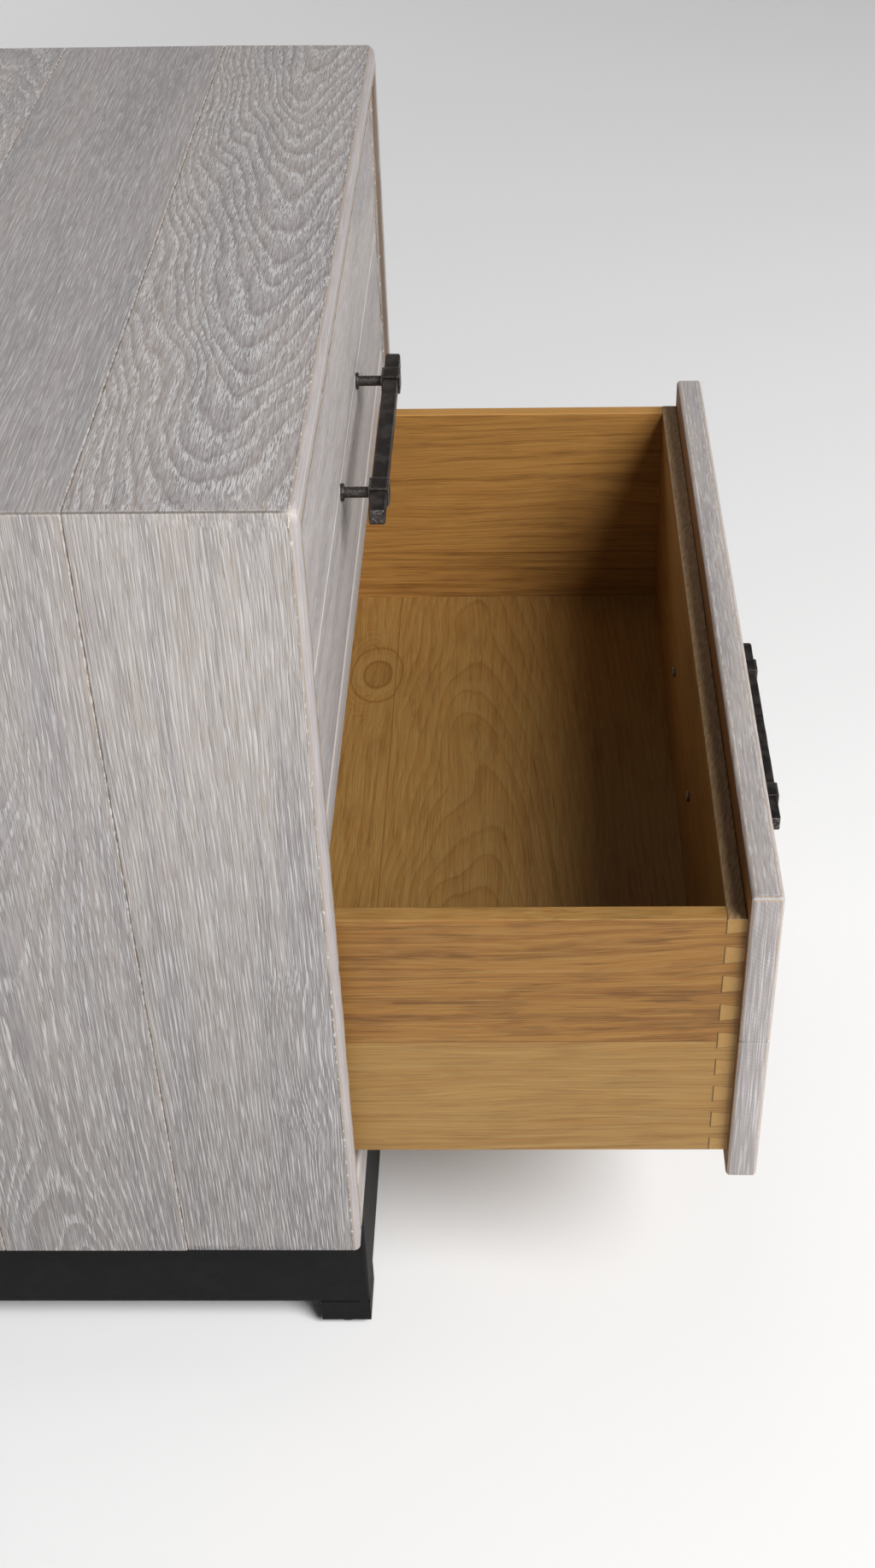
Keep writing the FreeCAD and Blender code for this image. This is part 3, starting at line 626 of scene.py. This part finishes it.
def golden_oak(node, lay, seed, joint=None, pale=(0.0, 0.0), paler_tone=OAK_PALE, strong=0.55, fine=0.3,
               figure=0.1, tilt=0.0, tag=None, bare_top=False, knot=None, **rings):
    """Clear-finished oak. joint is where two glued boards meet across the grain, and pale how far the
    one below and above it turns to the paler tone; strong, fine and figure are how dark its pores,
    bands and rings are, and tilt how far the grain runs out; tag names the drawer whose dovetails the
    piece has; bare_top says that its top edge is left sawn; knot is the place along and across, length
    and width of a knot."""
    oak = Oak([node], lay, seed, OAK_GOLD, specular=0.35, **rings)
    unshifted = oak.u
    top = oak.gap(ACROSS, HIGH)
    paler = pale[0]
    if joint is not None:
        above = oak.gap(ACROSS, LOW).rise(joint - 0.2, joint + 0.2)
        paler = pale[0] + above * (pale[1] - pale[0])
        oak.u = oak.u + above * STAVE_SHIFT
    if lay[ALONG] == "y":
        paler = paler + top.fall(0.3, 1.2) * 0.4
    late = oak.phase.rise(0.78, 0.96)
    early = oak.phase.rise(0.0, 0.05) * oak.phase.fall(0.25, 0.6)
    oak.v = oak.v + (oak.streak(*STRAY_SIZE) - 0.5) * STRAY_FAR + oak.u * tilt
    fibre = oak.streak(*THREAD_SIZE)
    fleck = oak.streak(*FLECK_SIZE, detail=0.0)
    band = oak.streak(*BAND_SIZE).rise(0.43, 0.65)
    patch = oak.streak(*PATCH_SIZE, detail=2.0).rise(0.5, 0.68)
    line = 0.6 - band * 0.07 - patch * 0.07
    pore = oak.streak(*DASH_SIZE).rise(line, line + 0.1)
    fade = 1.0 - paler * 1.5
    oak.coat(paler_tone, fibre.rise(0.38, 0.64) * 0.6 + paler)
    oak.coat(OAK_BROWN, (band * fine + patch * 0.22 + late * figure) * fade)
    oak.coat(OAK_PALE, early * fleck.rise(0.46, 0.6) * (figure * 2.2))
    oak.coat(OAK_PORE, pore * fade * strong)
    if knot:
        spread = oak.spread(unshifted, *knot)
        oak.coat(OAK_BROWN, spread.fall(0.8, 1.15) * 0.3)
        oak.coat(OAK_BROWN, abs(spread - 1.0).fall(0.05, 0.3) * 0.5)
        oak.coat(OAK_PALE, abs(spread - 1.9).fall(0.2, 0.8) * 0.3)
        oak.coat(OAK_BROWN, abs(spread - 4.2).fall(0.15, 0.6) * 0.4)
    if joint is not None:
        oak.coat(OAK_BROWN, abs(oak.gap(ACROSS, LOW) - joint).fall(0.15, 0.6) * 0.6)
    if tag:
        side = abs(oak.place[0])
        half = reach(f"{tag}_box_right")[HIGH][AXES["x"]]
        if lay[ALONG] == "x":
            oak.coat(OAK_END, side.rise(half - 0.6, half - 0.2) * 0.75)
        oak.coat(GLUE_LINE, dovetail_lines(oak, tag) * side.rise(half - 1.0, half - 0.4) * 0.8)
    if bare_top:
        x, y = oak.place[:2]
        saw = oak.noise(x / SAW_LONG + y / SAW_SLANT, y / SAW_WIDE, 0.0)
        bare = oak.paint(OAK_BARE, OAK_BROWN, saw.rise(0.35, 0.7) * 0.5)
        oak.coat(bare, top.fall(0.2, 1.2) * 0.85)
    oak.settle(0.44 + fibre * 0.16, fibre * 0.03 - pore * 0.05)
    dress(node, oak)


for tag, seed, joint in (("upper", 40, 92.0), ("lower", 60, 104.0)):
    golden_oak(
        f"{tag}_box_left", "yzx", seed + 1, heart=(120, 60), ring=2.9, joint=joint, pale=(0.36, -0.12),
        strong=0.52, fine=0.27, tilt=0.03, tag=tag,
    )
    golden_oak(
        f"{tag}_box_right", "yzx", seed + 2, heart=(-150, 60), ring=3.2, joint=70.0, pale=(0.43, 0.48),
        paler_tone=OAK_AMBER, strong=1.5, fine=0.9, tag=tag,
    )
    golden_oak(
        f"{tag}_box_front", "xzy", seed + 3, heart=(140, 60), ring=3.4, joint=120.0, tag=tag,
        bare_top=True,
    )
    golden_oak(f"{tag}_box_back", "xzy", seed + 4, heart=(110, 60), ring=3.4, tag=tag)
    golden_oak(
        f"{tag}_box_bottom", "xyz", seed + 5, heart=(-48, 80), lean=0.075, ring=4.2, wavy=0.2,
        joint=240.0, pale=(0.22, 0.24), strong=0.34, fine=0.18, figure=0.28,
        eyes=[(194, 44, 80, 28, 26)], knot=(194, 44, 20, 11),
    )


# Drawer fronts: two oak planks each, edge-glued with a fine groove along the seam that the lime fills.
# Smoother than the case, sawn square at the ends, rubbed pale and nicked along every rounded edge, and
# left without lime on the back. The pulls' screws hold them to the boxes.
FRONT_ROUND = 3.0
FRONT_CUTS = (("x", 7.0), ("z", 9.0))
SAWN_LONG, SAWN_FINE, SAWN_DEEP = 34, 0.6, 40


def filled_groove(oak, level):
    """The groove along the seam, filled with lime on the outer face."""
    filled = abs(oak.place[oak.lay[ACROSS]] + oak.chip * 0.4 - level - 0.2)
    outside = oak.gap(THROUGH, LOW).fall(1.0, 2.0)
    oak.coat(LIME_WHITE, filled.fall(0.6, 1.2) * outside * 0.9)


def sawn_ends(oak):
    """The two flat ends, with limed saw marks and a tan line inside the rubbed edge."""
    sawn = oak.noise(oak.v / SAWN_LONG + oak.shift, oak.w / SAWN_FINE, oak.u / SAWN_DEEP)
    flat = oak.paint(LIME_GREY, LIME_PALE, sawn.rise(0.35, 0.65))
    flat = oak.paint(flat, LIME_WHITE, sawn.rise(0.57, 0.68) * 0.6)
    flat = oak.paint(flat, WORN_TAN, abs(oak.edge + oak.chip * 1.4 - 2.2).fall(0.4, 0.9) * 0.7)
    end = oak.gap(ALONG, LOW).least(oak.gap(ALONG, HIGH))
    oak.coat(flat, end.fall(0.3, 1.2) * oak.edge.rise(0.9, 1.6))


def clear_back(oak):
    """The back, left without lime."""
    bare = oak.paint(OAK_GOLD, OAK_BROWN, oak.fibre.rise(0.35, 0.65))
    oak.coat(bare, oak.gap(THROUGH, HIGH).fall(0.3, 1.0))


for tag, seed in (("upper", 80), ("lower", 90)):
    planks = [f"{tag}_front_upper_plank", f"{tag}_front_lower_plank"]
    seam = reach(planks[0])[LOW][AXES["z"]]
    front_oak = limed_oak(
        planks, "xzy", seed, heart=(170, 60), ring=3.0, pore=(16.0, 1.5), hairs=1.1, brushed=0.45,
        warm=0.3, wear=2.4,
    )
    filled_groove(front_oak, seam)
    sawn_ends(front_oak)
    clear_back(front_oak)
    for plank in planks:
        worn_copy(plank, f"{tag}_drawer", front_oak, planks, FRONT_ROUND, FRONT_CUTS, seam)


# Pulls: a square iron bar, hammered and a little flared at its ends, held by two collars on round
# posts with flanges; screws from inside the drawer hold the posts. Forged, blackened and waxed, with
# bright metal rubbed through on the arrises and on the scored ends; along the bar's long arrises the
# bright is partly a painted highlight.
IRON_DARK = tint(58, 54, 52)
IRON_GREY = tint(86, 81, 78)
IRON_BRIGHT = tint(158, 151, 145)
DENT_WIDE = 11
SKIN_WIDE = 0.9
SCORE_WIDE = 1.6
PEBBLE_WIDE = 0.8
COLLAR_WIDE = 15.0


def forged_iron(tag):
    """Bar and collars: dark scale, rubbed bright along the arrises and scored on the bar's ends; along
    the bar's long arrises the bright is partly a painted highlight.
    """
    finish = Finish(f"{tag}_pull_iron", IRON_DARK, metallic=0.85)
    x, y, z = finish.place
    low, high = reach(f"{tag}_pull_bar")
    dents = finish.cloud(DENT_WIDE)
    skin = finish.cloud(SKIN_WIDE, roughness=0.6)
    score = finish.cloud(SCORE_WIDE, detail=3, roughness=0.7)
    end = abs(x).rise(high[0] - 1.2, high[0] - 0.7)
    edge = (y - low[1]).least(high[1] - y).most((z - low[2]).least(high[2] - z))
    # Painted highlight: the bright along the bar's long arrises is partly rubbed metal and partly
    # painted sheen for light catching them.
    rubbed = edge.fall(0.3, 0.8) * score.rise(0.4, 0.6) * 0.5
    low, high = reach(f"{tag}_pull_collars")
    low[0] = high[0] - COLLAR_WIDE
    arris = finish.arris(low, high, (abs(x), y, z))
    on_collar = (abs(x) - low[0]).least(high[0] - abs(x)).rise(-0.1, 0.0)
    rubbed = rubbed.most(arris.fall(0.4, 0.9) * on_collar * score.rise(0.36, 0.56) * 0.7)
    rubbed = rubbed.most(end * score.rise(0.53, 0.62) * 0.7)
    finish.coat(IRON_GREY, dents.rise(0.4, 0.65))
    finish.coat(IRON_BRIGHT, rubbed)
    finish.settle(0.34 + skin * 0.22, dents * 0.3 + skin * 0.06 + score * end * 0.5)
    return finish


# The bar's section and length, and its forging: shares of its half length and half width, and each
# kind of hammer mark's width, difference from bar to bar, and depth.
BAR_EDGE = 1.2
BAR_STEPS = 84
FLAT_POINTS = 4
ARC_POINTS = 3
CORNERS = ((1, 1), (-1, 1), (-1, -1), (1, -1))
END_RINGS = (0.0, 0.35, 0.7)
BAR_SLIM = 0.975
FLARE_FROM, FLARE_WIDE, FLARE_CURVE = 0.86, 0.04, 1.5
ROUND_FROM, ROUND_IN = 0.985, 0.1
HAMMER_MARKS = ((16, 50, 0.22), (4, 30, 0.04))
END_ROUGH = 1.6
END_CROWN = 0.3
END_WELD = 0.05


def square_ring(half, edge):
    """Points round a square bar's section, with softened corners."""
    def on_corner(corner, part):
        sx, sy = CORNERS[corner % 4]
        angle = (corner + part) * math.pi / 2
        return (sx * (half - edge) + edge * math.cos(angle), sy * (half - edge) + edge * math.sin(angle))
    points = []
    for corner in range(4):
        points += [on_corner(corner, step / ARC_POINTS) for step in range(ARC_POINTS + 1)]
        flat = (points[-1], on_corner(corner + 1, 0))
        for step in range(1, FLAT_POINTS + 1):
            part = step / (FLAT_POINTS + 1)
            points.append(tuple(a + (b - a) * part for a, b in zip(*flat)))
    return points


def forged_bar(tag, finish):
    """Replace a plain bar by one with hammer dents and flared ends."""
    low, high = (Vector(corner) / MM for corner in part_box(f"{tag}_pull_bar"))
    centre = (low + high) / 2
    half_long = (high.x - low.x) / 2
    rings = [(-1.0, share) for share in END_RINGS]
    rings += [(-1.0 + 2.0 * step / BAR_STEPS, 1.0) for step in range(BAR_STEPS + 1)]
    rings += [(1.0, share) for share in reversed(END_RINGS)]
    points = []
    section = square_ring((high.z - low.z) / 2, BAR_EDGE)
    for place, share in rings:
        flare = max(0.0, abs(place) - FLARE_FROM) / (1 - FLARE_FROM)
        wide = share * (BAR_SLIM + FLARE_WIDE * flare ** FLARE_CURVE)
        if share == 1.0:
            wide *= 1.0 - ROUND_IN * max(0.0, (abs(place) - ROUND_FROM) / (1 - ROUND_FROM))
        for a, b in section:
            spot = Vector((place * half_long, a * wide, b * wide))
            dent = 0.0
            for size, shift, deep in HAMMER_MARKS:
                dent += noise.noise(spot / size + centre / shift) * deep
            if share < 1.0:
                spot.x += math.copysign(dent * END_ROUGH + END_CROWN * (1 - share), place)
            else:
                spot += Vector((0, a, b)).normalized() * dent
            points.append((centre + spot) * MM)
    count = len(section)
    faces = []
    for ring in range(len(rings) - 1):
        here = ring * count
        there = here + count
        for step in range(count):
            following = (step + 1) % count
            faces.append((here + step, here + following, there + following, there + step))
    mesh = bpy.data.meshes.new(f"{tag}_pull_forged_bar")
    mesh.from_pydata(points, [], faces)
    mesh.validate()
    bar = bpy.data.objects.new(mesh.name, mesh)
    bpy.context.scene.collection.objects.link(bar)
    weld = bar.modifiers.new("closed_ends", "WELD")
    weld.merge_threshold = END_WELD * MM
    mesh.shade_smooth()
    mesh.materials.append(finish.material)
    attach(bar, f"{tag}_drawer")
    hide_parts(f"{tag}_pull_bar")


# Posts keep a pebbled skin from the fire, a little brighter than the bar.
post_iron = Finish("post_iron", IRON_DARK, metallic=0.85)
pebble = post_iron.cloud(PEBBLE_WIDE, detail=1)
post_iron.coat(IRON_BRIGHT, pebble.rise(0.36, 0.7) * 0.35)
post_iron.settle(0.32 + pebble * 0.2, pebble * 0.09)
for tag in ("upper", "lower"):
    pull_iron = forged_iron(tag)
    forged_bar(tag, pull_iron)
    dress(f"{tag}_pull_collars", pull_iron)
    dress(f"{tag}_pull_posts", post_iron)
    dress(f"{tag}_pull_screws", screw_zinc)


# Studio: a plain pale floor that curves up into a greyer wall all round, a broad soft light from the
# front left, a weaker one from behind on the right, and faint even light. The camera stands to the
# left and looks down into the open drawer.
FLOOR_REACH = 5.0
COVE_ROUND = 1.8
WALL_TALL = 6.5
COVE_STEPS = 12
COVE_SIDES = 96
FLOOR_PALE = (0.93, 0.93, 0.93, 1.0)
WALL_GREY = (0.42, 0.42, 0.42, 1.0)
GREY_FROM, GREY_TO = 3.4, 6.6
FLOOR_ROUGH = 0.9
EVEN_LIGHT = 0.035
profile = []
for step in range(COVE_STEPS + 1):
    turn = math.pi / 2 * step / COVE_STEPS
    profile.append((FLOOR_REACH + COVE_ROUND * math.sin(turn), COVE_ROUND * (1 - math.cos(turn))))
profile.append((FLOOR_REACH + COVE_ROUND, WALL_TALL))
points = []
for radius, height in profile:
    for side in range(COVE_SIDES):
        turn = 2 * math.pi * side / COVE_SIDES
        points.append((radius * math.cos(turn), radius * math.sin(turn), height))
faces = [tuple(range(COVE_SIDES))]
for ring in range(len(profile) - 1):
    here = ring * COVE_SIDES
    there = here + COVE_SIDES
    for side in range(COVE_SIDES):
        following = (side + 1) % COVE_SIDES
        faces.append((here + following, here + side, there + side, there + following))
floor_mesh = bpy.data.meshes.new("floor")
floor_mesh.from_pydata(points, [], faces)
floor_mesh.shade_smooth()
floor_mesh.polygons[0].use_smooth = False
floor = bpy.data.objects.new("floor", floor_mesh)
bpy.context.scene.collection.objects.link(floor)
floor_paint = Finish("floor_paint", FLOOR_PALE)
floor_x, floor_y = floor_paint.place[:2]
out = floor_paint.reckon("SQRT", floor_x * floor_x + floor_y * floor_y) * MM
floor_paint.coat(WALL_GREY, out.rise(GREY_FROM, GREY_TO))
floor_paint.shader.inputs["Roughness"].default_value = FLOOR_ROUGH
floor_mesh.materials.append(floor_paint.material)

world = bpy.data.worlds.new("studio")
world.use_nodes = True
world.node_tree.nodes["Background"].inputs["Color"].default_value = (1.0, 1.0, 1.0, 1.0)
world.node_tree.nodes["Background"].inputs["Strength"].default_value = EVEN_LIGHT
bpy.context.scene.world = world


def soft_light(name, place, aim, wide, watts):
    lamp = bpy.data.lights.new(name, "AREA")
    lamp.shape = "DISK"
    lamp.size = wide
    lamp.energy = watts
    light = bpy.data.objects.new(name, lamp)
    light.location = place
    light.rotation_euler = (Vector(aim) - Vector(place)).to_track_quat("-Z", "Y").to_euler()
    bpy.context.scene.collection.objects.link(light)


soft_light("front_light", place=(-2.71, -2.93, 3.75), aim=(0.0, -0.35, 0.43), wide=3.0, watts=344)
soft_light("back_light", place=(4.2, 2.7, 2.2), aim=(0.2, 0.2, 0.2), wide=2.4, watts=55)

CAMERA_PLACE = (-1.20889, -0.21007, 1.20971)
CAMERA_RIGHT = Vector((0.012466, -0.999786, -0.016519))
CAMERA_UP = Vector((0.622578, -0.005167, 0.782541))
camera = bpy.data.cameras.new("camera")
camera.sensor_width = 36.0
camera.lens = 44.773
camera.shift_x = -0.02744
camera.clip_end = 50
view = bpy.data.objects.new("camera", camera)
turned = Matrix((CAMERA_RIGHT, CAMERA_UP, CAMERA_RIGHT.cross(CAMERA_UP))).transposed()
view.matrix_world = Matrix.Translation(CAMERA_PLACE) @ turned.to_4x4()
bpy.context.scene.collection.objects.link(view)
bpy.context.scene.camera = view
bpy.context.scene.view_settings.view_transform = "Standard"
